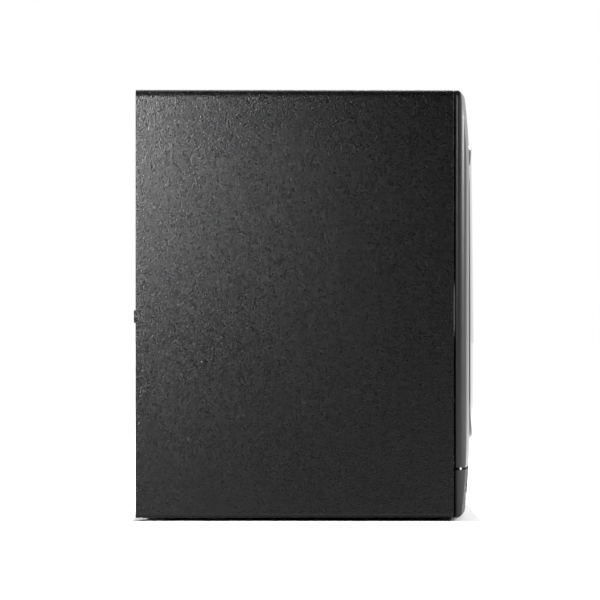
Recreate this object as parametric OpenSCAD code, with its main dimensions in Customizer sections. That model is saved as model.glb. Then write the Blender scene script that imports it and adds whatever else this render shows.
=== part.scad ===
// Six-bay drive enclosure: a folded steel cover over a cage of drive trays, with a hinged front door.
// X is the width (the door hinges on the -X side), the front faces -Y, and Z is up from the feet.

/* [Enclosure] */
// Width across the cover
body_w = 170; // [165:1:210]
// Depth of the cover from its front edge to its rear edge
cover_depth = 210; // [208:1:260]
// Thickness of the folded steel
sheet_t = 1.2; // [1:0.1:1.5]
// Radius of the cover's top edges
top_r = 5.6; // [4:0.1:8]
// Radius of the cover's bottom edges
low_r = 3; // [2.5:0.1:4]
// How far the rear panel is set in from the cover's rear edge
rear_inset = 3.7; // [3:0.1:5]
// Height of the rubber feet below the cover
foot_h = 2; // [2:0.1:5]

/* [Drive bays] */
// Height from one tray to the next
bay_pitch = 35.5; // [34:0.5:44]
// Width of a drive
drive_w = 101.6; // [101.6:0.1:122]
// Length of a drive
drive_l = 147; // [122:1:147]
// Height of a drive
drive_h = 26.1; // [20:0.1:26.1]
// Thickness of a tray's side walls
tray_wall = 2.6; // [2:0.1:3.2]
// Clearance between a tray and the cage on each side
tray_gap = 1.2; // [0.8:0.1:2]
// Height left over the top tray for the cage roof and the cover
roof_space = 17; // [14:1:40]
// Height under the bottom tray for the power supply
supply_space = 53; // [52:1:70]

/* [Door] */
// How far the door's crown stands ahead of the cover's front edge
door_proud = 13.9; // [13.5:0.1:16]
// How far the raised panel stands ahead of the cover's front edge
panel_proud = 17.6; // [17:0.1:20]
// Thickness of the door's skin
skin_t = 2; // [1.8:0.1:2.2]
// Radius of the door's upright edges
nose_r = 8; // [7.5:0.1:9]
// Radius of the door's crown, seen from above
crown_r = 620; // [600:10:900]
// Gap between the door and the cover
door_gap = 0.8; // [0.7:0.1:1]
// Gap between the door and the lower bezel
sill_gap = 1.6; // [1.4:0.1:2.4]
// Height of the lower bezel's top edge above the floor
sill_z = 33.7; // [32:0.1:36]
// Radius of the hinge pins
pin_r = 1; // [0.8:0.05:1.2]
// Running clearance round a hinge pin
pin_gap = 0.05; // [0.02:0.01:0.1]
// Width of the raised panel
panel_w = 84; // [70:1:96]

/* [Rear] */
// Size of the rear fan's square frame
fan_size = 120; // [116:1:122]
// Thickness of the rear fan
fan_t = 25; // [20:1:25]
// How far a thumb screw's head stands past the cover
screw_proud = 1.3; // [1:0.1:2]

/* [Hidden] */
$fn = 48;
fine_fn = 1440;
crown_turn = 12;
eps = 0.01;
bays = 6;
stack_z = supply_space + foot_h;
stack_top = stack_z + bays * bay_pitch;
body_top = stack_top + roof_space;
total_depth = panel_proud + cover_depth + screw_proud;
seam_y = panel_proud - total_depth / 2;
rear_y = seam_y + cover_depth;
crown_y = seam_y - door_proud;
half_w = body_w / 2;
inner_w = half_w - sheet_t;
floor_z = foot_h + sheet_t;

// cage and trays
tray_w = drive_w + 2 * tray_wall + 0.8;
cage_t = 1;
cage_x1 = inner_w - 3;
cage_in1 = cage_x1 - cage_t;
cage_in0 = cage_in1 - tray_w - 2 * tray_gap;
cage_x0 = cage_in0 - cage_t;
tray_x0 = cage_in0 + tray_gap;
tray_x1 = cage_in1 - tray_gap;
tray_xm = (tray_x0 + tray_x1) / 2;
tray_face_y = seam_y + 2.5;
face_t = 9;
carrier_y0 = tray_face_y + face_t;
carrier_y1 = carrier_y0 + drive_l + 2;
cage_y0 = seam_y + 14;
cage_y1 = carrier_y1 + 2;
tray_floor_t = 2;
tray_foot = 3.2;
face_h = bay_pitch - 1.5;
lever_x = tray_x0 + 10;
lever_y = tray_face_y + 3.5;
lever_t = 3;
lever_l = tray_w - 26;
lever_h = 17;
hole_dx = 95.25;
hole_dy = 44.45;
hole_y = carrier_y1 - 2 - 41.3 - hole_dy / 2;
hole_r = 1.75;

// door
door_z0 = sill_z + sill_gap;
arc_top_z = body_top - 55;
arc_low_z = 58;
arc_top_r = 430;
arc_low_r = 480;
door_top_r = 4;
door_low_r = 3.6;
hinge_x = -half_w + 4.4;
hinge_y = seam_y - 4.4;
eye_r = pin_r + 0.8;
arm_z = body_top - 30;
arm_h = 6;
door_back = seam_y - door_gap;
panel_z0 = 52;
panel_z1 = body_top - 33;
panel_apex_z = 95;
panel_fall = 2.3;
panel_corner_r = 24;
panel_back = crown_y + 4.1;
panel_low_r = 760;
lock_x = half_w - 19;
lock_z = stack_top + 5;
lock_r = 4;
cam_l = 6;
cam_half = 1.8;
cam_y0 = seam_y + 4.1;
cam_t = 1.2;
magnet_x = lock_x - 34;
magnet_z = lock_z + 1;
magnet_w = 20;
magnet_h = 6;

// front frame
frame_y0 = seam_y + 1.3;
frame_t = 2.4;
frame_d = 12;

// rear
panel_y1 = rear_y - rear_inset;
panel_y0 = panel_y1 - sheet_t;
fan_x = (cage_x0 + cage_x1) / 2 - 9.5;
fan_z = stack_z + 106;
fan_r = fan_size / 2 - 2;
screw_z = 135;
ear_w = 11;
screw_x = inner_w - ear_w / 2;

// board
board_x = -inner_w + 5;
board_t = 1.6;
board_y0 = seam_y + 22;
board_y1 = panel_y0 - 6;
board_z0 = 62;
board_z1 = 232;
board_face = board_x + board_t;
sink_h = cage_x0 - board_face - 4;
back_y = cage_y1 + 6;

// power supply
supply_l = 150;
supply_w = 81.5;
supply_h = 40.5;
supply_x0 = cage_x1 - 2 - supply_w;
supply_z0 = floor_z + 2.4;
supply_y1 = panel_y0;
inlet_x = supply_x0 + 53;
inlet_z = supply_z0 + supply_h / 2;
inlet_w = 27;
inlet_h = 20;
rocker_x = supply_x0 + 72.6;
rocker_half = 4;
rocker_y = supply_y1 - 3;
supply_fan_x = supply_x0 + 20;
supply_fan_r = 17;

// lower bezel controls
button_x = -62;
copy_x = -42;
window_x = 4;
lamp_x = 43;
usb_x = 60;
control_z = foot_h + 16;
glass_w = 62;
glass_h = 17;
lamp_step = 4.6;
lamp_r = 1.2;
button_r = 6.5;
copy_r = 4;
button_travel = 1.5;
button_reach = 9;
copy_reach = 10;
switch_y = seam_y - 1;
control_y = seam_y + 6.2;
usb_in_w = 12.2;
usb_in_h = 5;

// sockets at the rear edge of the main board
net_x0 = board_face;
net_x1 = board_face + 14;
net_h = 16;
usb_t = 7;
usb_w = 14.5;
function net_z(i) = 80 + i * 22;
function usb_z(i) = 146 + i * 20;

// A block between two opposite corners
module block(low, high) {
  translate(low) cube(high - low);
}

// A rod along Y from y0 to y1
module rod_y(x, z, r, y0, y1) {
  translate([x, y0, z]) rotate([-90, 0, 0]) cylinder(r = r, h = y1 - y0);
}

// A flat rounded rectangle centred on the origin
module soft_rect(w, h, r) {
  square([w - 2 * r, h], center = true);
  square([w, h - 2 * r], center = true);
  for (sx = [-1, 1]) {
    for (sy = [-1, 1]) {
      translate([sx * (w / 2 - r), sy * (h / 2 - r)]) circle(r = r);
    }
  }
}

// A rounded rectangle facing the front, cut or raised from y0 to y1
module front_pad(x, z, w, h, r, y0, y1) {
  translate([x, y1, z]) rotate([90, 0, 0]) linear_extrude(y1 - y0) soft_rect(w, h, r);
}

// The cover's outline, seen from the front, set in by a distance
module body_section(inset) {
  w = body_w - 2 * inset;
  z0 = foot_h + inset;
  z1 = body_top - inset;
  rt = top_r - inset;
  rl = low_r - inset;
  translate([-w / 2, z0 + rl]) square([w, z1 - z0 - rl - rt]);
  translate([-w / 2 + rt, z1 - rt - eps]) square([w - 2 * rt, rt + eps]);
  translate([-w / 2 + rl, z0]) square([w - 2 * rl, rl + eps]);
  for (s = [-1, 1]) {
    translate([s * (w / 2 - rt), z1 - rt]) circle(r = rt);
    translate([s * (w / 2 - rl), z0 + rl]) circle(r = rl);
  }
}

module body_bar(inset, y0, y1) {
  translate([0, y1, 0]) rotate([90, 0, 0]) linear_extrude(y1 - y0) body_section(inset);
}

// The door's outline seen from above: a crowned front with bullnosed edges
module front_plan(inset) {
  r = nose_r - inset;
  c = crown_r - inset;
  x = half_w - nose_r;
  cy = crown_y + crown_r;
  ny = cy - sqrt(pow(crown_r - nose_r, 2) - pow(x, 2));
  corner_r = 2.4;
  intersection() {
    union() {
      intersection() {
        translate([0, cy]) circle(r = c, $fn = fine_fn);
        translate([-x, crown_y]) square([2 * x, door_back - crown_y]);
      }
      for (s = [-1, 1]) translate([s * x, ny]) circle(r = r);
    }
    union() {
      translate([-half_w, crown_y]) square([body_w, door_back - corner_r - crown_y]);
      translate([-half_w + corner_r, crown_y]) square([body_w - 2 * corner_r, door_back - crown_y]);
      for (s = [-1, 1]) translate([s * (half_w - corner_r), door_back - corner_r]) circle(r = corner_r);
    }
  }
}

// A side profile measured outwards from the crown's centre
function radial(points) = [for (p = points) [crown_y + crown_r - p[0], p[1]]];

// The front seen from the side: flat in the middle and falling back towards both ends
module front_side(inset) {
  f = crown_y + inset;
  z_top = body_top - inset;
  z_low = foot_h + inset;
  rt = arc_top_r - inset;
  rl = arc_low_r - inset;
  ct = door_top_r - inset;
  cl = door_low_r - inset;
  top_a = asin((z_top - ct - arc_top_z) / (rt - ct));
  low_a = asin((arc_low_z - z_low - cl) / (rl - cl));
  ty = f + rt - (rt - ct) * cos(top_a);
  ly = f + rl - (rl - cl) * cos(low_a);
  back = seam_y + 2;
  polygon(radial(concat(
    [[back, z_low]],
    arc(ly, z_low + cl, cl, 270, 180 + low_a, 5),
    arc(f + rl, arc_low_z, rl, 180 + low_a * 0.9, 180, 8),
    arc(f + rt, arc_top_z, rt, 180, 180 - top_a * 0.9, 8),
    arc(ty, z_top - ct, ct, 180 - top_a, 90, 5),
    [[back, z_top]]
  )));
}

// The front turned about the crown's centre, so that it is round both ways
module front_form(inset, z0, z1) {
  intersection() {
    translate([0, 0, z0]) linear_extrude(z1 - z0) front_plan(inset);
    translate([0, crown_y + crown_r, 0]) rotate([0, 0, 270 - crown_turn])
      rotate_extrude(angle = 2 * crown_turn, $fn = fine_fn) front_side(inset);
    body_bar(inset, crown_y - 1, seam_y + 1);
  }
}

module outer_cover() color("#17171a") {
  difference() {
    body_bar(0, seam_y, rear_y);
    body_bar(sheet_t, seam_y - 1, rear_y + 1);
    block([-inner_w + 9, seam_y - 1, foot_h - 1], [inner_w - 9, rear_y + 1, foot_h + sheet_t + 1]);
  }
  for (s = [-1, 1]) {
    difference() {
      block([s * screw_x - ear_w / 2, panel_y1, screw_z - 9], [s * screw_x + ear_w / 2, panel_y1 + 1, screw_z + 9]);
      rod_y(s * screw_x, screw_z, 2, panel_y1 - 1, panel_y1 + 2);
    }
  }
}

module base_plate() color("#3a3b3e") {
  difference() {
    block([-inner_w + 9.2, seam_y + 2, foot_h], [inner_w - 9.2, panel_y0, floor_z]);
    for (i = [0 : 9]) {
      for (x = [-48, -30]) {
        block([x, seam_y + 40 + i * 9, foot_h - 1], [x + 14, seam_y + 43 + i * 9, floor_z + 1]);
      }
    }
  }
}

module rear_panel() color("#8e9094") {
  difference() {
    body_bar(sheet_t + 0.2, panel_y0, panel_y1);
    block([-half_w, panel_y0 - 1, 0], [half_w, panel_y1 + 1, floor_z]);
    rod_y(fan_x, fan_z, fan_r, panel_y0 - 1, panel_y1 + 1);
    for (sx = [-1, 1]) {
      for (sz = [-1, 1]) {
        rod_y(fan_x + sx * 52.5, fan_z + sz * 52.5, 2.2, panel_y0 - 1, panel_y1 + 1);
      }
      rod_y(sx * screw_x, screw_z, 1.75, panel_y0 - 1, panel_y1 + 1);
    }
    front_pad(inlet_x, inlet_z, inlet_w + 0.6, inlet_h + 0.6, 2, panel_y0 - 1, panel_y1 + 1);
    block([rocker_x - rocker_half, panel_y0 - 1, inlet_z - 8], [rocker_x + rocker_half, panel_y1 + 1, inlet_z + 8]);
    rod_y(supply_fan_x, inlet_z, supply_fan_r, panel_y0 - 1, panel_y1 + 1);
    for (i = [0, 1]) {
      block([net_x0 - 0.3, panel_y0 - 1, net_z(i) - 0.3], [net_x1 + 0.3, panel_y1 + 1, net_z(i) + net_h + 0.3]);
      block([net_x0 - 0.3, panel_y0 - 1, usb_z(i) - 0.3], [net_x0 + usb_t + 0.3, panel_y1 + 1, usb_z(i) + usb_w + 0.3]);
    }
    for (i = [0 : 7]) {
      front_pad(net_x0 + 12, board_z1 - 4 - i * 6, 24, 2.6, 1.2, panel_y0 - 1, panel_y1 + 1);
    }
    block([net_x0, panel_y0 - 1, 26], [net_x0 + 7, panel_y1 + 1, 29]);
  }
}

module front_frame() color("#202124") {
  difference() {
    body_bar(sheet_t + 0.3, frame_y0, frame_y0 + frame_d);
    block([-half_w, frame_y0 - 1, 0], [half_w, frame_y0 + frame_d + 1, sill_z - 2.6]);
    block([cage_in0, frame_y0 - 1, stack_z - 0.6], [cage_in1, frame_y0 + frame_d + 1, stack_top + 0.6]);
    block([-inner_w + 3, frame_y0 + frame_t, sill_z], [cage_in0 - 2, frame_y0 + frame_d + 1, body_top - top_r]);
    block([cage_in0 - 3, frame_y0 + frame_t, sill_z], [cage_in1, frame_y0 + frame_d + 1, stack_z - 2.6]);
    block([cage_in0 - 3, frame_y0 + frame_t, stack_top + 2.6], [cage_in1, frame_y0 + frame_d + 1, body_top - top_r]);
    for (i = [0 : 17]) {
      front_pad(-inner_w + 27, stack_z + 12 + i * 11, 30, 3.4, 1.6, frame_y0 - 1, frame_y0 + frame_t + 1);
    }
    block([hinge_x + 2.6, frame_y0 - 1, arm_z - 1], [hinge_x + 20, frame_y0 + 1, arm_z + arm_h + 1]);
    block([lock_x - cam_l - 1, frame_y0 - 1, lock_z - cam_half - 0.4], [lock_x + 3, frame_y0 + 3, lock_z + cam_half + 0.4]);
    front_pad(magnet_x, magnet_z, magnet_w, magnet_h, 0.5, frame_y0 - 1, frame_y0 + 1.6);
  }
}

module lower_bezel() color("#26272a") {
  difference() {
    front_form(0, foot_h, sill_z);
    front_form(skin_t, foot_h, sill_z - skin_t);
    block([-half_w + 4, door_back - 1, foot_h + 3], [half_w - 4, seam_y + 2, sill_z - skin_t]);
    translate([hinge_x, hinge_y, sill_z - 6]) cylinder(r = pin_r, h = 10);
    front_pad(window_x, control_z, glass_w + 0.4, glass_h + 0.4, 2.2, crown_y - 1, seam_y);
    rod_y(button_x, control_z, button_r + 0.35, crown_y - 1, seam_y);
    rod_y(copy_x, control_z, copy_r + 0.35, crown_y - 1, seam_y);
    for (i = [-1.5 : 1.5]) rod_y(lamp_x, control_z + i * lamp_step, lamp_r, crown_y - 1, seam_y);
    block([usb_x - 7, crown_y - 1, control_z - 3.5], [usb_x + 7, seam_y, control_z + 3.5]);
  }
  difference() {
    translate([hinge_x, hinge_y, sill_z - 6]) cylinder(r = pin_r + 1.2, h = 6 - skin_t);
    translate([hinge_x, hinge_y, sill_z - 7]) cylinder(r = pin_r, h = 10);
  }
}

module rubber_feet() color("#101011") {
  for (x = [-1, 1]) {
    for (y = [seam_y + 26, rear_y - 26]) {
      translate([x * (half_w - 26), y, 0]) cylinder(r = 8, h = foot_h);
    }
  }
}

module thumb_screws() color("#111113") {
  for (s = [-1, 1]) {
    difference() {
      rod_y(s * screw_x, screw_z, 4.25, panel_y1 + 1, rear_y + screw_proud);
      block([s * screw_x - 2.6, rear_y + screw_proud - 1, screw_z - 0.5], [s * screw_x + 2.6, rear_y + 3, screw_z + 0.5]);
    }
    rod_y(s * screw_x, screw_z, 1.75, panel_y0 - 4, panel_y1 + 1 + eps);
  }
}

// One upright wall of the drive cage, with air slots between the bays
module cage_wall(x) {
  difference() {
    block([x, cage_y0, stack_z - 0.2], [x + cage_t, cage_y1, stack_top + 0.2]);
    for (i = [0 : bays - 1]) {
      for (k = [0 : 3]) {
        block([x - 1, cage_y0 + 14 + k * 35, stack_z + i * bay_pitch + 10],
              [x + cage_t + 1, cage_y0 + 40 + k * 35, stack_z + i * bay_pitch + 20]);
      }
    }
  }
}

module cage_left_wall() color("#b4b6b9") cage_wall(cage_x0);

module cage_right_wall() color("#b4b6b9") cage_wall(cage_in1);

module cage_shelf() color("#b4b6b9") {
  block([cage_x0, cage_y0, stack_z - 1.2], [cage_x1, cage_y1, stack_z - 0.2]);
  for (x = [cage_x0, cage_in1]) {
    block([x, cage_y0 + 10, floor_z], [x + cage_t, cage_y0 + 40, stack_z - 1.2 + eps]);
    block([x, cage_y1 - 40, floor_z], [x + cage_t, cage_y1 - 10, stack_z - 1.2 + eps]);
  }
}

module cage_roof() color("#b4b6b9") {
  block([cage_x0, cage_y0, stack_top + 0.2], [cage_x1, cage_y1, stack_top + 1.2]);
}

module tray_rails() color("#2b2c2f") {
  for (i = [0 : bays - 1]) {
    z = stack_z + i * bay_pitch;
    block([cage_in0, cage_y0, z + 0.6], [tray_x0 + 6, cage_y1 - 4, z + tray_foot - 0.3]);
    block([tray_x1 - 6, cage_y0, z + 0.6], [cage_in1, cage_y1 - 4, z + tray_foot - 0.3]);
  }
}

module backplane() color("#1f5a3c") {
  difference() {
    block([cage_x0 + 3, back_y, stack_z + 2], [cage_x1 - 2, back_y + board_t, stack_top - 2]);
    for (i = [0 : bays - 1]) {
      front_pad(tray_xm, stack_z + i * bay_pitch + 24, 88, 10, 2, back_y - 1, back_y + board_t + 1);
    }
  }
}

module drive_sockets() color("#101114") {
  for (i = [0 : bays - 1]) {
    z = stack_z + i * bay_pitch + tray_foot + 4.5;
    difference() {
      block([tray_xm - 24, carrier_y1 + 1, z], [tray_xm + 24, back_y, z + 7]);
      block([tray_xm - 22, carrier_y1, z + 1.5], [tray_xm - 6, carrier_y1 + 5, z + 5.5]);
      block([tray_xm - 3, carrier_y1, z + 1.5], [tray_xm + 22, carrier_y1 + 5, z + 5.5]);
    }
  }
}

module main_board() color("#1f5a3c") {
  difference() {
    block([board_x, board_y0, board_z0], [board_face, board_y1, board_z1]);
    for (y = [board_y0 + 6, board_y1 - 30]) {
      for (z = [board_z0 + 6, board_z1 - 6]) {
        translate([board_x - 1, y, z]) rotate([0, 90, 0]) cylinder(r = 1.6, h = board_t + 2);
      }
    }
  }
}

module board_standoffs() color("#c9a24b") {
  for (y = [board_y0 + 6, board_y1 - 30]) {
    for (z = [board_z0 + 6, board_z1 - 6]) {
      translate([-inner_w, y, z]) rotate([0, 90, 0]) cylinder(r = 2.6, h = board_x + inner_w);
      translate([board_x - eps, y, z]) rotate([0, 90, 0]) cylinder(r = 1.5, h = board_t + 1);
      translate([board_face, y, z]) rotate([0, 90, 0]) cylinder(r = 2.8, h = 1.8);
    }
  }
}

module heat_sink() color("#9a9ca0") {
  y = (board_y0 + board_y1) / 2 - 30;
  z = 150;
  block([board_face, y, z], [board_face + 5, y + 52, z + 52]);
  for (i = [0 : 9]) {
    block([board_face + 4, y, z + i * 5.6], [board_face + sink_h, y + 52, z + i * 5.6 + 1.4]);
  }
}

module memory_module() color("#1b3f2c") {
  y = board_y0 + 24;
  block([board_face, y, 84], [board_face + 6, y + 70, 90]);
  block([board_face + 3, y + 1, 86.2], [board_face + 30, y + 68.6, 87.4]);
}

module clock_battery() color("#c8c9cb") {
  translate([board_face, board_y0 + 50, 118]) rotate([0, 90, 0]) cylinder(r = 10, h = 3.2);
}

module network_sockets() color("#b9bbbe") {
  for (i = [0, 1]) {
    difference() {
      block([net_x0, panel_y1 - 22, net_z(i)], [net_x1, panel_y1 + 0.3, net_z(i) + net_h]);
      block([net_x0 + 3, panel_y1 - 14, net_z(i) + 2.1], [net_x1 - 3, panel_y1 + 1, net_z(i) + net_h - 2.1]);
      block([net_x1 - 4, panel_y1 - 12, net_z(i) + 5], [net_x1 - 1, panel_y1 + 1, net_z(i) + net_h - 5]);
    }
  }
}

module rear_usb_sockets() color("#b9bbbe") {
  for (i = [0, 1]) {
    difference() {
      block([net_x0, panel_y1 - 18, usb_z(i)], [net_x0 + usb_t, panel_y1 + 0.3, usb_z(i) + usb_w]);
      block([net_x0 + 0.9, panel_y1 - 14, usb_z(i) + 0.9],
            [net_x0 + usb_t - 0.9, panel_y1 + 1, usb_z(i) + usb_w - 0.9]);
    }
    block([net_x0 + 4.2, panel_y1 - 15, usb_z(i) + 2], [net_x0 + usb_t - 0.9, panel_y1 - 1, usb_z(i) + usb_w - 2]);
  }
}

// A bladed rotor about Y, with a hub bored for its shaft
module rotor(r_hub, r_tip, y0, y1, blades, bore) {
  difference() {
    rod_y(0, 0, r_hub, y0, y1);
    rod_y(0, 0, bore, y0 + 2, y1 + 1);
  }
  for (i = [0 : blades - 1]) {
    intersection() {
      difference() {
        rod_y(0, 0, r_tip, y0 + 1, y1 - 1);
        rod_y(0, 0, r_hub - 0.5, y0, y1);
      }
      rotate([0, i * 360 / blades, 0]) translate([0, (y0 + y1) / 2, 0]) rotate([0, 0, 38])
        block([-(y1 - y0), -0.8, 0], [y1 - y0, 0.8, r_tip]);
    }
  }
}

module fan_frame() color("#141416") {
  y0 = panel_y0 - fan_t;
  difference() {
    front_pad(fan_x, fan_z, fan_size, fan_size, 5, y0, panel_y0);
    rod_y(fan_x, fan_z, fan_r, y0 - 1, panel_y0 + 1);
    for (sx = [-1, 1]) {
      for (sz = [-1, 1]) rod_y(fan_x + sx * 52.5, fan_z + sz * 52.5, 1.75, y0 - 1, panel_y0 + 1);
    }
  }
  rod_y(fan_x, fan_z, 21, panel_y0 - 3.4, panel_y0 - 0.4);
  rod_y(fan_x, fan_z, 1.5, panel_y0 - 16, panel_y0 - 3);
  for (i = [0 : 3]) {
    translate([fan_x, 0, fan_z]) rotate([0, 45 + 90 * i, 0])
      block([-2, panel_y0 - 3.4, 18], [2, panel_y0 - 0.8, fan_r + 1]);
  }
}

module fan_rotor() color("#1b1b1e") {
  translate([fan_x, 0, fan_z]) rotor(20, fan_r - 1.5, panel_y0 - fan_t + 1.5, panel_y0 - 4, 7, 1.55);
}

module fan_guard() color("#b8babd") {
  wire_r = 0.8;
  y = panel_y1 + 1.2;
  translate([fan_x, y, fan_z]) rotate([90, 0, 0]) {
    for (r = [13, 24, 35, 46, 57]) rotate_extrude() translate([r, 0]) circle(r = wire_r);
  }
  for (i = [0 : 3]) {
    translate([fan_x, y, fan_z]) rotate([0, 45 + 90 * i, 0]) {
      translate([0, 0, 12]) cylinder(r = wire_r * 0.9, h = 58.2);
      difference() {
        rod_y(0, 74.2, 4.4, -1.2, 0.2);
        rod_y(0, 74.2, 1.9, -2, 1);
      }
    }
  }
}

module fan_screws() color("#c4c6c9") {
  for (sx = [-1, 1]) {
    for (sz = [-1, 1]) {
      rod_y(fan_x + sx * 52.5, fan_z + sz * 52.5, 3.4, panel_y1 + 1.4, panel_y1 + 3.2);
      rod_y(fan_x + sx * 52.5, fan_z + sz * 52.5, 1.75, panel_y0 - 8, panel_y1 + 1.5);
    }
  }
}

module power_supply_case() color("#8f9195") {
  difference() {
    block([supply_x0, supply_y1 - supply_l, supply_z0], [supply_x0 + supply_w, supply_y1, supply_z0 + supply_h]);
    rod_y(supply_fan_x, inlet_z, supply_fan_r, supply_y1 - 14, supply_y1 + 1);
    front_pad(inlet_x, inlet_z, inlet_w, inlet_h, 2, supply_y1 - 22, supply_y1 + 1);
    block([rocker_x - rocker_half, supply_y1 - 12, inlet_z - 8], [rocker_x + rocker_half, supply_y1 + 1, inlet_z + 8]);
    translate([rocker_x - 4.8, rocker_y, inlet_z]) rotate([0, 90, 0]) cylinder(r = 1.25, h = 9.6);
  }
  rod_y(supply_fan_x, inlet_z, 1, supply_y1 - 14.5, supply_y1 - 5);
  for (x = [supply_x0 + 8, supply_x0 + supply_w - 16]) {
    for (y = [supply_y1 - 24, supply_y1 - supply_l + 16]) {
      block([x, y, floor_z], [x + 8, y + 8, supply_z0 + eps]);
    }
  }
}

module power_supply_rotor() color("#1b1b1e") {
  translate([supply_fan_x, 0, inlet_z]) difference() {
    rotor(7, supply_fan_r - 1, supply_y1 - 12, supply_y1 - 3, 5, 1.05);
    rod_y(0, 0, 1.05, supply_y1 - 13, supply_y1 - 9);
  }
}

module power_inlet() color("#0f0f11") {
  difference() {
    front_pad(inlet_x, inlet_z, inlet_w, inlet_h, 2, supply_y1 - 22, panel_y1 + 1);
    front_pad(inlet_x, inlet_z, 24, 16.6, 2.5, panel_y1 - 15, panel_y1 + 2);
  }
  for (p = [[-7, -2], [7, -2], [0, 4]]) {
    block([inlet_x + p[0] - 1, panel_y1 - 16, inlet_z + p[1] - 2], [inlet_x + p[0] + 1, panel_y1 - 4, inlet_z + p[1] + 2]);
  }
}

module power_rocker() color("#141416") {
  translate([rocker_x, rocker_y, inlet_z]) {
    rotate([-7, 0, 0]) {
      intersection() {
        block([-3.6, -4, -6.4], [3.6, 6.4, 6.4]);
        rotate([0, 90, 0]) translate([0, 0, -5]) cylinder(r = 7, h = 10);
      }
    }
    rotate([0, 90, 0]) translate([0, 0, -4.5]) cylinder(r = 1.2, h = 9);
  }
}

// The lower bezel's controls
module display_window() color("#08090b") {
  intersection() {
    front_form(0.2, foot_h, sill_z);
    front_pad(window_x, control_z, glass_w, glass_h, 2, crown_y - 1, seam_y - 2);
    difference() {
      front_form(0, foot_h, sill_z);
      front_form(skin_t, foot_h, sill_z);
    }
  }
}

module display_module() color("#15171a") {
  block([window_x - 28, seam_y - 5.5, control_z - 8], [window_x + 28, seam_y - 1.5, control_z + 8]);
  for (s = [-1, 1]) {
    block([window_x + s * 22 - 2, seam_y - 1.6, control_z - 2], [window_x + s * 22 + 2, control_y, control_z + 2]);
  }
}

module control_board() color("#1f5a3c") {
  block([-half_w + 14, control_y, foot_h + 4], [half_w - 10, control_y + board_t, sill_z - 5]);
}

module push_switches() color("#c7c9cc") {
  for (x = [button_x, copy_x]) {
    block([x - 3, switch_y, control_z - 3], [x + 3, control_y, control_z + 3]);
  }
}

module front_usb_socket() color("#b9bbbe") {
  difference() {
    block([usb_x - 6.9, seam_y - 8.4, control_z - 3.4], [usb_x + 6.9, control_y, control_z + 3.4]);
    block([usb_x - usb_in_w / 2, seam_y - 9, control_z - usb_in_h / 2],
          [usb_x + usb_in_w / 2, seam_y + 4, control_z + usb_in_h / 2]);
  }
  block([usb_x - 5.4, seam_y - 6.5, control_z + 0.2], [usb_x + 5.4, seam_y + 5, control_z + 2]);
}

module light_pipes() color("#d8e6ee") {
  for (i = [-1.5 : 1.5]) {
    rod_y(lamp_x, control_z + i * lamp_step, lamp_r - 0.05, seam_y - 10.6, control_y);
  }
}

// A round push button with a collar behind the bezel
module push_button(x, r, reach) {
  rod_y(x, control_z, r, seam_y - reach, seam_y - 2.7);
  rod_y(x, control_z, r + 1.2, seam_y - 4.6, seam_y - 2.7);
}

module power_button() color("#b9bbbe") push_button(button_x, button_r, button_reach);

module copy_button() color("#3c3d41") push_button(copy_x, copy_r, copy_reach);

// Hinge: a gooseneck arm on the front frame, and two steel pins
module hinge_arm() color("#a9abaf") {
  difference() {
    union() {
      translate([hinge_x, hinge_y, arm_z]) cylinder(r = eye_r, h = arm_h);
      block([hinge_x, hinge_y - 1.7, arm_z], [hinge_x + 7.4, hinge_y - 0.2, arm_z + arm_h]);
      block([hinge_x + 5.6, hinge_y - 1.7, arm_z], [hinge_x + 7.4, frame_y0 + eps, arm_z + arm_h]);
      block([hinge_x + 5.6, frame_y0 - 0.2, arm_z], [hinge_x + 19, frame_y0 + 1, arm_z + arm_h]);
    }
    translate([hinge_x, hinge_y, arm_z - 1]) cylinder(r = pin_r, h = arm_h + 2);
  }
}

module hinge_pins() color("#c9cbce") {
  translate([hinge_x, hinge_y, sill_z - 6]) cylinder(r = pin_r, h = 6 + sill_gap + 7);
  translate([hinge_x, hinge_y, arm_z - 5]) cylinder(r = pin_r, h = arm_h + 10);
}

module door_magnet() color("#8b8d91") {
  front_pad(magnet_x, magnet_z, magnet_w, magnet_h, 0.5, seam_y, frame_y0 + 1.6);
}

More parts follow.
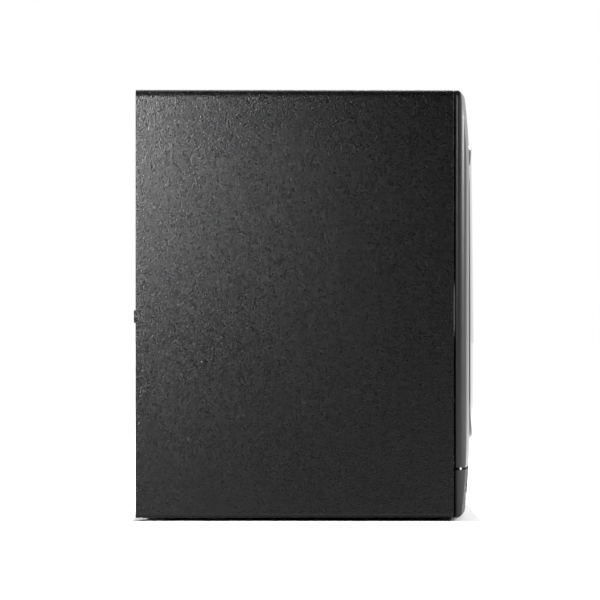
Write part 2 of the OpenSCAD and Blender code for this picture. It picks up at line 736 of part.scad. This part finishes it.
// Door
module door_shell() color("#1c1d20") {
  difference() {
    union() {
      difference() {
        front_form(0, door_z0, body_top);
        front_form(skin_t, door_z0 + skin_t, body_top);
        block([-half_w + skin_t + 0.4, door_back - 3, door_z0 + skin_t], [half_w - skin_t - 0.4, seam_y, body_top - top_r]);
        translate([hinge_x, hinge_y, arm_z - 0.3]) cylinder(r = eye_r + 0.4, h = arm_h + 0.6);
        block([hinge_x, hinge_y - 2.1, arm_z - 0.3], [hinge_x + 8.4, seam_y, arm_z + arm_h + 0.3]);
      }
      intersection() {
        front_form(0, door_z0, body_top);
        union() {
          translate([hinge_x, hinge_y, door_z0]) cylinder(r = pin_r + 1.4, h = 9);
          translate([hinge_x, hinge_y, arm_z - 6]) cylinder(r = pin_r + 1.4, h = 5.7);
          translate([hinge_x, hinge_y, arm_z + arm_h + 0.3]) cylinder(r = pin_r + 1.4, h = 5.7);
          rod_y(lock_x, lock_z, lock_r + 2, crown_y, door_back - 0.4);
          front_pad(magnet_x, magnet_z, magnet_w + 4, magnet_h + 1.6, 1, crown_y, door_back - 1.2);
          for (z = [door_z0 + 40 : 45 : body_top - 50]) {
            block([-half_w + 12, crown_y, z], [half_w - 4, seam_y - 6, z + 1.4]);
          }
        }
      }
    }
    translate([hinge_x, hinge_y, door_z0 - 1]) cylinder(r = pin_r + pin_gap, h = 9);
    translate([hinge_x, hinge_y, arm_z - 5.4]) cylinder(r = pin_r + pin_gap, h = arm_h + 10.8);
    rod_y(lock_x, lock_z, lock_r + 0.05, crown_y - 1, seam_y);
    panel_outline(0.1, crown_y - 1, panel_back);
    block([half_w - 3, door_back - 3.2, lock_z - 150], [half_w + 1, seam_y, lock_z - 116]);
    for (i = [0 : 9]) {
      block([-60 + i * 13, seam_y - 7.5, door_z0 - 1], [-52 + i * 13, seam_y - 4, door_z0 + skin_t + 1]);
    }
  }
}

function arc(cy, cz, r, a0, a1, n) = [
  for (i = [0 : n]) let (a = a0 + (a1 - a0) * i / n) [cy + r * cos(a), cz + r * sin(a)]
];

// The raised panel seen from the side: fullest low down, with a soft top end and a rounder low end
module panel_side() {
  f = seam_y - panel_proud;
  end_top_r = 4.5;
  end_low_r = 3;
  ly = f + panel_low_r - sqrt(pow(panel_low_r - end_low_r, 2) - pow(panel_apex_z - panel_z0 - end_low_r, 2));
  low_angle = asin((panel_apex_z - panel_z0 - end_low_r) / panel_low_r);
  polygon(concat(
    [[panel_back, panel_z0]],
    arc(ly, panel_z0 + end_low_r, end_low_r, 270, 180, 6),
    arc(f + panel_low_r, panel_apex_z, panel_low_r, 180 + low_angle * 0.9, 180, 6),
    arc(f + panel_fall + end_top_r, panel_z1 - end_top_r, end_top_r, 180, 90, 6),
    [[panel_back, panel_z1]]
  ));
}

// The panel's outline seen from the front, grown by a clearance
module panel_outline(grow, y0, y1) {
  front_pad(0, (panel_z0 + panel_z1) / 2, panel_w + 2 * grow, panel_z1 - panel_z0 + 2 * grow,
            panel_corner_r + grow, y0, y1);
}

module raised_panel() color("#050506") {
  half = panel_w / 2;
  door_sag = pow(half, 2) / (2 * crown_r);
  sag = panel_proud - door_proud - 0.6 + door_sag;
  lens_r = (pow(half, 2) + pow(sag, 2)) / (2 * sag);
  intersection() {
    translate([-half, 0, 0]) rotate([90, 0, 90]) linear_extrude(panel_w) panel_side();
    translate([0, seam_y - panel_proud + lens_r, panel_z0]) cylinder(r = lens_r, h = panel_z1 - panel_z0, $fn = 360);
    panel_outline(0, seam_y - panel_proud - 1, panel_back);
  }
}

module latch_plate() color("#b4b6b9") {
  front_pad(magnet_x, magnet_z, magnet_w, magnet_h, 0.5, door_back - 1.2, door_back);
}

module lock_barrel() color("#b0b2b6") {
  difference() {
    rod_y(lock_x, lock_z, lock_r, crown_y + 5.8, door_back);
    block([lock_x - 2.4, crown_y + 4, lock_z - 0.5], [lock_x + 2.4, crown_y + 9, lock_z + 0.5]);
  }
  rod_y(lock_x, lock_z, 1.6, door_back - eps, cam_y0);
}

module lock_cam() color("#a4a6aa") {
  difference() {
    union() {
      block([lock_x - cam_l, cam_y0, lock_z - cam_half], [lock_x, cam_y0 + cam_t, lock_z + cam_half]);
      rod_y(lock_x, lock_z, cam_half, cam_y0, cam_y0 + cam_t);
    }
    rod_y(lock_x, lock_z, 0.8, cam_y0 - 1, cam_y0 + cam_t + 1);
  }
}

// One drive tray: a face with a pocket for its lever, two side walls and an open floor
module tray(i) color("#232427") {
  z0 = stack_z + i * bay_pitch;
  fz = z0 + 0.75;
  zm = fz + face_h / 2;
  pz = z0 + tray_foot;
  difference() {
    block([tray_x0, tray_face_y, fz], [tray_x1, tray_face_y + face_t, fz + face_h]);
    front_pad((lever_x - 3.6 + tray_x1 - 6) / 2, zm, tray_x1 - 6 - lever_x + 3.6, lever_h + 1, 1,
              tray_face_y - 1, tray_face_y + 6.6);
    for (s = [-1, 1]) {
      for (k = [0 : 3]) {
        front_pad(tray_x0 + 17 + k * 24.5, zm + s * 12.8, 20, 3, 1.4, tray_face_y - 1, tray_face_y + face_t + 1);
      }
    }
  }
  translate([lever_x, lever_y, zm - lever_h / 2 - 1]) cylinder(r = 1.2, h = lever_h + 2);
  for (x = [tray_x0, tray_x1 - tray_wall]) {
    block([x, carrier_y0 - eps, pz], [x + tray_wall, carrier_y1, pz + 20]);
  }
  difference() {
    block([tray_x0, carrier_y0 - eps, pz], [tray_x1, carrier_y1, pz + tray_floor_t]);
    block([tray_xm - 38, carrier_y0 + 12, pz - 1], [tray_xm + 38, hole_y - 34, pz + 4]);
    block([tray_xm - 38, hole_y - 20, pz - 1], [tray_xm + 38, carrier_y1 - 14, pz + 4]);
    for (sx = [-1, 1]) {
      for (sy = [-1, 1]) {
        translate([tray_xm + sx * hole_dx / 2, hole_y + sy * hole_dy / 2, pz - 1]) cylinder(r = hole_r, h = 4);
      }
    }
  }
}

module lever(i) color("#33353a") {
  zm = stack_z + i * bay_pitch + 0.75 + face_h / 2;
  difference() {
    union() {
      translate([lever_x, lever_y, zm - lever_h / 2]) cylinder(r = 2.7, h = lever_h);
      front_pad(lever_x + lever_l / 2, zm, lever_l, lever_h, 1.5, tray_face_y + 0.8, tray_face_y + 0.8 + lever_t);
    }
    translate([lever_x, lever_y, zm - lever_h]) cylinder(r = 1.25, h = 2 * lever_h);
  }
}

module tray_1() tray(0);
module tray_2() tray(1);
module tray_3() tray(2);
module tray_4() tray(3);
module tray_5() tray(4);
module tray_6() tray(5);
module lever_1() lever(0);
module lever_2() lever(1);
module lever_3() lever(2);
module lever_4() lever(3);
module lever_5() lever(4);
module lever_6() lever(5);

outer_cover();
base_plate();
rear_panel();
front_frame();
lower_bezel();
rubber_feet();
thumb_screws();
cage_left_wall();
cage_right_wall();
cage_shelf();
cage_roof();
tray_rails();
backplane();
drive_sockets();
main_board();
heat_sink();
memory_module();
clock_battery();
board_standoffs();
network_sockets();
rear_usb_sockets();
fan_frame();
fan_guard();
fan_screws();
fan_rotor();
power_supply_case();
power_supply_rotor();
power_inlet();
power_rocker();
display_module();
display_window();
control_board();
push_switches();
front_usb_socket();
light_pipes();
power_button();
copy_button();
hinge_arm();
hinge_pins();
door_magnet();
door_shell();
raised_panel();
latch_plate();
lock_barrel();
lock_cam();
tray_1();
tray_2();
tray_3();
tray_4();
tray_5();
tray_6();
lever_1();
lever_2();
lever_3();
lever_4();
lever_5();
lever_6();
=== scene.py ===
import math
import bmesh
import bpy
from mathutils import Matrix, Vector


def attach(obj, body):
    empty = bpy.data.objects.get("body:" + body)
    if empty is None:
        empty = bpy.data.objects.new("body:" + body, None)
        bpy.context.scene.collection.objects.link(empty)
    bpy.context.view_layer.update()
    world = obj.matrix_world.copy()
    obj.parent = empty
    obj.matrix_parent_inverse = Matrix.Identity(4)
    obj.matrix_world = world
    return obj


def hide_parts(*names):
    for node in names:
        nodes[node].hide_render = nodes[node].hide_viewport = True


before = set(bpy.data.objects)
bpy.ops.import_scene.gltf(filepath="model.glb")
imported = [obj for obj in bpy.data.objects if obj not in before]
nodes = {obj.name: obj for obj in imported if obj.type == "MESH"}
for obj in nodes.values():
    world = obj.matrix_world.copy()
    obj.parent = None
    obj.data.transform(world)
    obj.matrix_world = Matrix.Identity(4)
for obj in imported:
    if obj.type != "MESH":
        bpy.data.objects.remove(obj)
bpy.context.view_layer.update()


# Camera. The enclosure is seen square on to its left side, from far away with a long
# lens, level with the middle of the cover and a little towards the door.
camera = bpy.data.objects.new("camera", bpy.data.cameras.new("camera"))
bpy.context.scene.collection.objects.link(camera)
camera.data.lens = 200
camera.data.sensor_width = 36
camera.data.clip_end = 60
camera.location = (-2.285, 0.0046, 0.146)
camera.rotation_euler = (math.radians(90), 0, math.radians(-90))
bpy.context.scene.camera = camera
bpy.context.scene.view_settings.view_transform = "Standard"


# Studio. A white room with a soft lamp above and behind the cover, one in front of the
# door and a wide one on the far side. The pale floor keeps the shadow, and a black flag
# that isn't seen itself holds the room's light off the cover.
class Signal:
    """A shader socket that is added to, taken from, multiplied and raised like a number."""

    def __init__(self, finish, socket):
        self.finish = finish
        self.socket = socket

    def math(self, operation, first, second):
        return self.finish.node("ShaderNodeMath", {"operation": operation}, {0: first, 1: second})

    def __add__(self, other):
        return self.math("ADD", self, other)

    def __sub__(self, other):
        return self.math("SUBTRACT", self, other)

    def __rsub__(self, other):
        return self.math("SUBTRACT", other, self)

    def __mul__(self, other):
        return self.math("MULTIPLY", self, other)

    def __pow__(self, other):
        return self.math("POWER", self, other)

    __radd__ = __add__
    __rmul__ = __mul__


class Finish:
    """A node material, or the world, with one method that makes any of its nodes."""

    def __init__(self, holder):
        holder.use_nodes = True
        self.holder = holder
        self.tree = holder.node_tree
        self.tree.nodes.clear()

    def node(self, kind, settings=(), sockets=(), output=0):
        made = self.tree.nodes.new(kind)
        for name, value in dict(settings).items():
            setattr(made, name, value)
        for name, value in dict(sockets).items():
            if isinstance(value, Signal):
                self.tree.links.new(value.socket, made.inputs[name])
            else:
                made.inputs[name].default_value = value
        return Signal(self, made.outputs[output] if len(made.outputs) else None)

    def place(self, stretch=(1, 1, 1)):
        point = self.node("ShaderNodeTexCoord", output=3)
        return self.node("ShaderNodeMapping", {}, {"Vector": point, "Scale": stretch})

    def seen_directly(self):
        """1 for rays from the camera and for those that a gloss or clear face sends on."""
        rays = self.node("ShaderNodeLightPath").socket.node.outputs
        camera_ray, glossy_ray, clear_ray = (
            Signal(self, rays[kind]) for kind in ("Is Camera Ray", "Is Glossy Ray", "Is Transmission Ray"))
        return self.node("ShaderNodeMath", {"operation": "MINIMUM"},
                         {0: camera_ray + glossy_ray + clear_ray, 1: 1.0})

    def noise(self, scale, detail=2.0, stretch=(1, 1, 1)):
        return self.node("ShaderNodeTexNoise", {},
                         {"Vector": self.place(stretch), "Scale": scale, "Detail": detail})

    def between(self, low, high, factor):
        return self.node("ShaderNodeMix", {"data_type": "RGBA"},
                         {0: factor, 6: (*low, 1), 7: (*high, 1)}, output=2)

    def clamp(self, signal, low, high):
        return self.node("ShaderNodeMapRange", {}, {"Value": signal, "From Min": low, "From Max": high})


world = bpy.data.worlds.new("studio")
bpy.context.scene.world = world
room = Finish(world)
room_light = 0.32
strength = room.seen_directly() * (1 - room_light) + room_light
sky = room.node("ShaderNodeBackground", {}, {"Color": (1, 1, 1, 1), "Strength": strength})
room.node("ShaderNodeOutputWorld", {}, {"Surface": sky})

# Each lamp's place, what it points at, width and height in metres, beam in degrees, watts
for name, spot, aim, size, spread, power in (
    ("rear_lamp", (-0.62, 0.40, 0.36), (-0.085, 0.27, 0.30), (0.26, 0.26), 64, 3.5),
    ("door_lamp", (-0.20, -0.90, 0.50), (0.0, -0.08, 0.26), (0.16, 0.44), 180, 12),
    ("far_lamp", (1.4, -0.5, 1.3), (0.0, 0.0, 0.14), (1.0, 1.0), 180, 16),
):
    lamp = bpy.data.objects.new(name, bpy.data.lights.new(name, "AREA"))
    bpy.context.scene.collection.objects.link(lamp)
    lamp.data.shape = "RECTANGLE"
    lamp.data.size, lamp.data.size_y = size
    lamp.data.spread = math.radians(spread)
    lamp.data.energy = power
    lamp.location = spot
    lamp.rotation_euler = (Vector(aim) - Vector(spot)).to_track_quat("-Z", "Y").to_euler()

floor_mesh = bpy.data.meshes.new("floor")
reach = 9
floor_mesh.from_pydata([(-reach, -reach, 0), (reach, -reach, 0), (reach, reach, 0), (-reach, reach, 0)],
                       [], [(0, 1, 2, 3)])
floor = bpy.data.objects.new("floor", floor_mesh)
bpy.context.scene.collection.objects.link(floor)
paper = Finish(bpy.data.materials.new("floor_paper"))
mottle = paper.noise(40.0)
matt = paper.node("ShaderNodeBsdfDiffuse", {}, {
    "Color": paper.between((0.84, 0.84, 0.84), (0.86, 0.86, 0.86), mottle)})
# The paper glows beyond the enclosure's footprint, so that only its near shadow shows
half_footprint, shadow_fade, paper_glow = (0.086, 0.114, 0), 0.005, 0.9
ground = paper.node("ShaderNodeVectorMath", {"operation": "ABSOLUTE"}, {0: paper.place()})
beyond = paper.node("ShaderNodeVectorMath", {"operation": "SUBTRACT"}, {0: ground, 1: half_footprint})
beyond = paper.node("ShaderNodeVectorMath", {"operation": "MAXIMUM"}, {0: beyond, 1: (0, 0, 0)})
away = paper.node("ShaderNodeVectorMath", {"operation": "LENGTH"}, {0: beyond}, output=1)
glow = paper.node("ShaderNodeEmission", {}, {
    "Color": (1, 1, 1, 1),
    "Strength": paper.seen_directly() * paper.clamp(away, 0.0, shadow_fade) * paper_glow})
both = paper.node("ShaderNodeAddShader", {}, {0: matt, 1: glow})
paper.node("ShaderNodeOutputMaterial", {}, {"Surface": both})
floor.data.materials.append(paper.holder)

flag_mesh = bpy.data.meshes.new("dark_flag")
flag_mesh.from_pydata([(-1.0, -2.2, 0.001), (-1.0, 1.3, 0.001), (-1.0, 1.3, 1.2), (-1.0, -2.2, 1.2),
                       (0.35, 0.6, 1.2), (0.35, -0.6, 1.2), (-1.0, 0.6, 1.2), (-1.0, -0.6, 1.2)], [],
                      [(0, 1, 2, 3), (6, 4, 5, 7)])
flag = bpy.data.objects.new("dark_flag", flag_mesh)
bpy.context.scene.collection.objects.link(flag)
flag.visible_camera = False
felt = Finish(bpy.data.materials.new("flag_felt"))
nap = felt.noise(30.0)
felt_shader = felt.node("ShaderNodeBsdfDiffuse", {}, {
    "Color": felt.between((0.010, 0.010, 0.010), (0.016, 0.016, 0.016), nap)})
felt.node("ShaderNodeOutputMaterial", {}, {"Surface": felt_shader})
flag.data.materials.append(felt.holder)


# Outer cover. One folded steel sheet, rounded along its top and bottom edges and painted
# with a coarse black powder coat. It slides on from behind and is held by the thumb screws.
def surface(finish, colour, roughness, bump, dents, metallic=0.0, specular=0.5,
            edge=0.0003, depth=0.0002, **constants):
    """A material of that colour and roughness, over dents of that depth and softened edges."""
    soft_edge = finish.node("ShaderNodeBevel", {"samples": 4}, {"Radius": edge})
    normal = finish.node("ShaderNodeBump", {}, {
        "Strength": bump, "Distance": depth, "Height": dents, "Normal": soft_edge})
    constants = {socket.replace("_", " "): value for socket, value in constants.items()}
    shader = finish.node("ShaderNodeBsdfPrincipled", {}, {
        "Base Color": colour, "Roughness": roughness, "Metallic": metallic,
        "Specular IOR Level": specular, "Normal": normal, **constants})
    finish.node("ShaderNodeOutputMaterial", {}, {"Surface": shader})
    return finish.holder


def wear(finish, radius=0.0006):
    """0 on open faces, rising to 1 along sharp edges where the finish rubs thin."""
    rounded = finish.node("ShaderNodeBevel", {"samples": 4}, {"Radius": radius})
    flat = finish.node("ShaderNodeNewGeometry", output=1)
    match = finish.node("ShaderNodeVectorMath", {"operation": "DOT_PRODUCT"},
                        {0: rounded, 1: flat}, output=1)
    return finish.clamp(1 - match, 0.02, 0.3)


def dress(material, *names):
    """Gives those pieces of the model the material."""
    for name in names:
        nodes[name].data.materials.clear()
        nodes[name].data.materials.append(material)


def powder_coat(name, dark, pale, roughness, bump, specular):
    finish = Finish(bpy.data.materials.new(name))
    lumps = finish.noise(scale=1150.0, detail=0.0)
    cells = finish.node("ShaderNodeTexVoronoi", {},
                        {"Vector": finish.place(), "Scale": 1300.0}, output=1)
    cloud = finish.noise(scale=9.0, detail=3.0)
    colour = finish.between(dark, pale, (cells ** 3.0) * 0.8 + cloud * 0.2)
    rough = roughness + (cloud - 0.5) * 0.06 + (cells - 0.5) * 0.12
    return surface(finish, colour, rough, bump, lumps + cells * 0.3,
                   specular=specular, edge=0.0004, depth=0.0005)


dress(powder_coat("cover_coat", (0.0008, 0.0008, 0.001), (0.013, 0.013, 0.014), 0.30, 0.5, 0.26),
      "outer_cover")


# Rear panel, drive cage, base plate and small metal parts. Sheet steel, bent and punched,
# bare apart from its zinc plating, except the base plate, which is powder coated black.
def plated(name, dark, pale, roughness, stretch=(1, 1, 1)):
    finish = Finish(bpy.data.materials.new(name))
    grain = finish.noise(260.0, 4.0, stretch)
    cloud = finish.noise(26.0, 3.0)
    worn = wear(finish)
    colour = finish.between(dark, pale, grain * 0.45 + cloud * 0.4 + worn * 0.3)
    rough = roughness + (cloud - 0.5) * 0.16 + (grain - 0.5) * 0.1
    return surface(finish, colour, rough, 0.25, grain, metallic=1.0, depth=0.00005)


sheet_steel = plated("plated_steel", (0.42, 0.43, 0.44), (0.62, 0.63, 0.64), 0.36, (1, 1, 6))
dress(sheet_steel, "rear_panel", "cage_left_wall", "cage_right_wall", "cage_shelf", "cage_roof",
      "power_supply_case")
dress(powder_coat("base_coat", (0.030, 0.031, 0.033), (0.045, 0.046, 0.049), 0.5, 0.5, 0.4),
      "base_plate")
bright_steel = plated("bright_steel", (0.60, 0.61, 0.62), (0.80, 0.80, 0.81), 0.2, (1, 12, 1))
dress(bright_steel, "hinge_pins", "fan_guard", "fan_screws", "network_sockets", "rear_usb_sockets",
      "front_usb_socket", "latch_plate", "lock_barrel", "lock_cam", "hinge_arm", "door_magnet",
      "push_switches")


# Front frame, trays, levers and rails. Injection-moulded black plastic with a fine
# spark-eroded grain; the frame screws to the chassis and the trays run in the rails.
def moulded(name, dark, pale, roughness, grain_scale, bump, specular=0.45, depth=0.00008):
    finish = Finish(bpy.data.materials.new(name))
    grain = finish.noise(grain_scale, 2.0)
    cloud = finish.noise(18.0, 3.0)
    worn = wear(finish, 0.0005)
    colour = finish.between(dark, pale, grain * 0.4 + cloud * 0.3 + worn * 0.5)
    rough = roughness + (cloud - 0.5) * 0.1 - worn * 0.08 + (grain - 0.5) * 0.08
    return surface(finish, colour, rough, bump, grain, specular=specular, depth=depth)


dress(moulded("frame_plastic", (0.016, 0.016, 0.018), (0.035, 0.035, 0.038), 0.5, 1700.0, 0.35),
      "front_frame")
dress(moulded("tray_plastic", (0.020, 0.021, 0.023), (0.045, 0.046, 0.049), 0.45, 1500.0, 0.3),
      *(f"tray_{i}" for i in range(1, 7)), "tray_rails")
dress(moulded("lever_plastic", (0.035, 0.037, 0.041), (0.070, 0.073, 0.080), 0.36, 1500.0, 0.25),
      *(f"lever_{i}" for i in range(1, 7)))


# Lower bezel. A grey-black moulding across the front under the door, with a matt
# texture, that carries the display window, the buttons and the front socket.
dress(moulded("bezel_plastic", (0.014, 0.014, 0.015), (0.024, 0.024, 0.026), 0.6, 900.0, 0.5, specular=0.36),
      "lower_bezel")


# Door. A moulded shell in satin black with a bullnose along its edges, crowned to the
# front, in which a glossy black panel sits proud of the shell.
dress(moulded("door_plastic", (0.007, 0.007, 0.008), (0.012, 0.012, 0.013), 0.30, 2600.0, 0.08, specular=0.5),
      "door_shell")


# Raised panel. A separate high-gloss black moulding pressed into a window in the door.
# It is crowned both ways, so its face runs out softly at the top and ends in a firm
# rounded edge at the bottom.
panel_half, panel_low, panel_high = 42.0, 52.0, 252.0
panel_front, panel_back, panel_corner = -114.45, -106.65, 24.0
apex, low_radius, top_fall = 95.0, 760.0, 2.3
lens_radius = 197.3
edge_roll, top_roll, low_roll = 0.5, 3.8, 2.4


def panel_depth(x, z, inset):
    """How far behind the foremost point the face lies, in mm, with its edge rolled back."""
    if z < apex:
        fall = low_radius - math.sqrt(low_radius ** 2 - (apex - z) ** 2)
    else:
        fall = top_fall * (z - apex) / (panel_high - apex)
    crown = lens_radius - math.sqrt(lens_radius ** 2 - x * x)
    to_top = min(max((z - panel_high + panel_corner) / panel_corner, 0), 1)
    to_low = min(max((panel_low + panel_corner - z) / panel_corner, 0), 1)
    roll = edge_roll + top_roll * to_top ** 2 + low_roll * to_low ** 2
    rolled = roll - math.sqrt(roll ** 2 - (roll - inset) ** 2) if inset < roll else 0
    return math.hypot(fall, crown) + rolled


def panel_ring(inset, steps=14, straight=40):
    """Points round a rounded rectangle that lies inset mm inside the panel's outline."""
    half_x = panel_half - inset
    half_z = (panel_high - panel_low) / 2 - inset
    corner = min(max(panel_corner - inset, 0), half_x)
    middle = (panel_low + panel_high) / 2
    ring = []
    for quarter, (sx, sz) in enumerate(((1, 1), (-1, 1), (-1, -1), (1, -1))):
        for i in range(steps + 1):
            turn = math.radians(90 * (quarter + i / steps))
            ring.append((sx * (half_x - corner) + corner * math.cos(turn),
                         middle + sz * (half_z - corner) + corner * math.sin(turn)))
        nx, nz = ((-1, 1), (-1, -1), (1, -1), (1, 1))[quarter]
        end = (nx * (half_x if quarter % 2 else half_x - corner),
               middle + nz * (half_z - corner if quarter % 2 else half_z))
        start = ring[-1]
        for i in range(1, straight):
            share = i / straight
            ring.append((start[0] + (end[0] - start[0]) * share, start[1] + (end[1] - start[1]) * share))
    return ring


insets = [0, 0.1, 0.25, 0.5, 0.9, 1.4, 2.0, 2.8, 3.6, 4.6, 6, 8, 11, 14, 18, 22, 26, 30, 34, 38, 40, 41.2, 42]
points = [(x, panel_back, z) for x, z in panel_ring(0)]
around = len(points)
for inset in insets:
    points += [(x, panel_front + panel_depth(x, z, inset), z) for x, z in panel_ring(inset)]
faces = [tuple(range(around))]
for k in range(len(insets)):
    for i in range(around):
        j = (i + 1) % around
        faces.append((k * around + i, (k + 1) * around + i, (k + 1) * around + j, k * around + j))
panel_mesh = bpy.data.meshes.new("gloss_panel")
metre, weld = 0.001, 0.00002
panel_mesh.from_pydata([tuple(v * metre for v in p) for p in points], [], faces)
shape = bmesh.new()
shape.from_mesh(panel_mesh)
bmesh.ops.remove_doubles(shape, verts=shape.verts, dist=weld)
bmesh.ops.recalc_face_normals(shape, faces=shape.faces)
for face in shape.faces:
    face.smooth = len(face.verts) < 5
shape.to_mesh(panel_mesh)
shape.free()
panel = bpy.data.objects.new("gloss_panel", panel_mesh)
bpy.context.scene.collection.objects.link(panel)
gloss = Finish(bpy.data.materials.new("gloss_panel"))
haze = gloss.noise(30.0, 4.0)
dust = gloss.noise(2200.0, 1.0)
gloss_black = gloss.between((0.004, 0.004, 0.005), (0.007, 0.007, 0.008), haze)
panel_mesh.materials.append(surface(
    gloss, gloss_black, 0.05 + haze * 0.05, 0.03, dust, specular=0.55,
    Coat_Weight=0.6, Coat_Roughness=0.03, depth=0.00002, edge=0.0002))
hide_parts("raised_panel")
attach(panel, "door")


# Fasteners and feet. Black-oxide thumb screws with rolled grips hold the cover, and
# four soft rubber feet are pressed into the base.
dress(plated("black_screw", (0.020, 0.020, 0.022), (0.060, 0.060, 0.065), 0.42), "thumb_screws")
dress(moulded("rubber", (0.010, 0.010, 0.010), (0.022, 0.022, 0.022), 0.8, 700.0, 0.6, specular=0.3),
      "rubber_feet")


# Circuit boards. Green glass-laminate boards under solder mask, with copper tracks that
# show through the mask as paler lines, and plated vias.
def circuit_board(name, dark, pale):
    finish = Finish(bpy.data.materials.new(name))
    tracks = finish.node("ShaderNodeTexBrick", {"offset": 0.5, "squash": 0.6, "squash_frequency": 3},
                         {"Vector": finish.place((0.8, 1, 1.6)), "Scale": 130.0,
                          "Mortar Size": 0.03, "Mortar Smooth": 0.1}, output=1)
    weave = finish.noise(900.0, 1.0)
    vias = finish.node("ShaderNodeTexVoronoi", {}, {"Vector": finish.place(), "Scale": 210.0})
    rings = 1 - finish.clamp(vias, 0.14, 0.2)
    mask = finish.between(dark, pale, tracks * 0.8 + weave * 0.2)
    gold = finish.node("ShaderNodeMix", {"data_type": "RGBA"},
                       {0: rings, 6: mask, 7: (0.75, 0.52, 0.2, 1)}, output=2)
    return surface(finish, gold, 0.3 + weave * 0.15, 0.3, tracks + rings, depth=0.00004)


board = circuit_board("circuit_board", (0.006, 0.060, 0.024), (0.018, 0.120, 0.052))
dress(board, "main_board", "backplane", "control_board")
dress(circuit_board("memory_board", (0.004, 0.045, 0.030), (0.012, 0.090, 0.060)), "memory_module")
dress(plated("brass", (0.55, 0.38, 0.13), (0.78, 0.57, 0.24), 0.3), "board_standoffs")
dress(plated("cell_steel", (0.66, 0.66, 0.67), (0.82, 0.82, 0.83), 0.22), "clock_battery")
dress(plated("heat_sink", (0.34, 0.35, 0.37), (0.50, 0.51, 0.53), 0.42, (1, 9, 1)), "heat_sink")


# Sockets, fans and the mains inlet. Glass-filled black plastics with a slight sheen,
# moulded with a polish finer than the trays'.
dress(moulded("socket_plastic", (0.010, 0.010, 0.012), (0.024, 0.024, 0.027), 0.38, 2000.0, 0.2),
      "drive_sockets", "power_inlet", "power_rocker")
dress(moulded("fan_plastic", (0.012, 0.012, 0.013), (0.030, 0.030, 0.032), 0.4, 1300.0, 0.25),
      "fan_frame", "fan_rotor", "power_supply_rotor")


# Display and controls. A smoked window over a segment module, clear light pipes, a
# metallised power button and a dark copy button.
glass = Finish(bpy.data.materials.new("window"))
film = glass.noise(60.0, 3.0)
dress(surface(glass, glass.between((0.004, 0.004, 0.006), (0.009, 0.009, 0.012), film),
              0.06 + film * 0.06, 0.02, film, specular=0.6, depth=0.00002), "display_window")
dress(moulded("display_module", (0.010, 0.011, 0.013), (0.020, 0.021, 0.024), 0.35, 1500.0, 0.2),
      "display_module")
pipe = Finish(bpy.data.materials.new("light_pipe"))
cloudy = pipe.noise(300.0, 2.0)
dress(surface(pipe, pipe.between((0.55, 0.62, 0.66), (0.75, 0.82, 0.86), cloudy), 0.18 + cloudy * 0.1, 0.05,
              cloudy, Transmission_Weight=0.5, depth=0.00003), "light_pipes")
dress(plated("button_metal", (0.42, 0.43, 0.45), (0.60, 0.61, 0.63), 0.3), "power_button")
dress(moulded("copy_button", (0.035, 0.036, 0.039), (0.060, 0.061, 0.066), 0.4, 1600.0, 0.25),
      "copy_button")
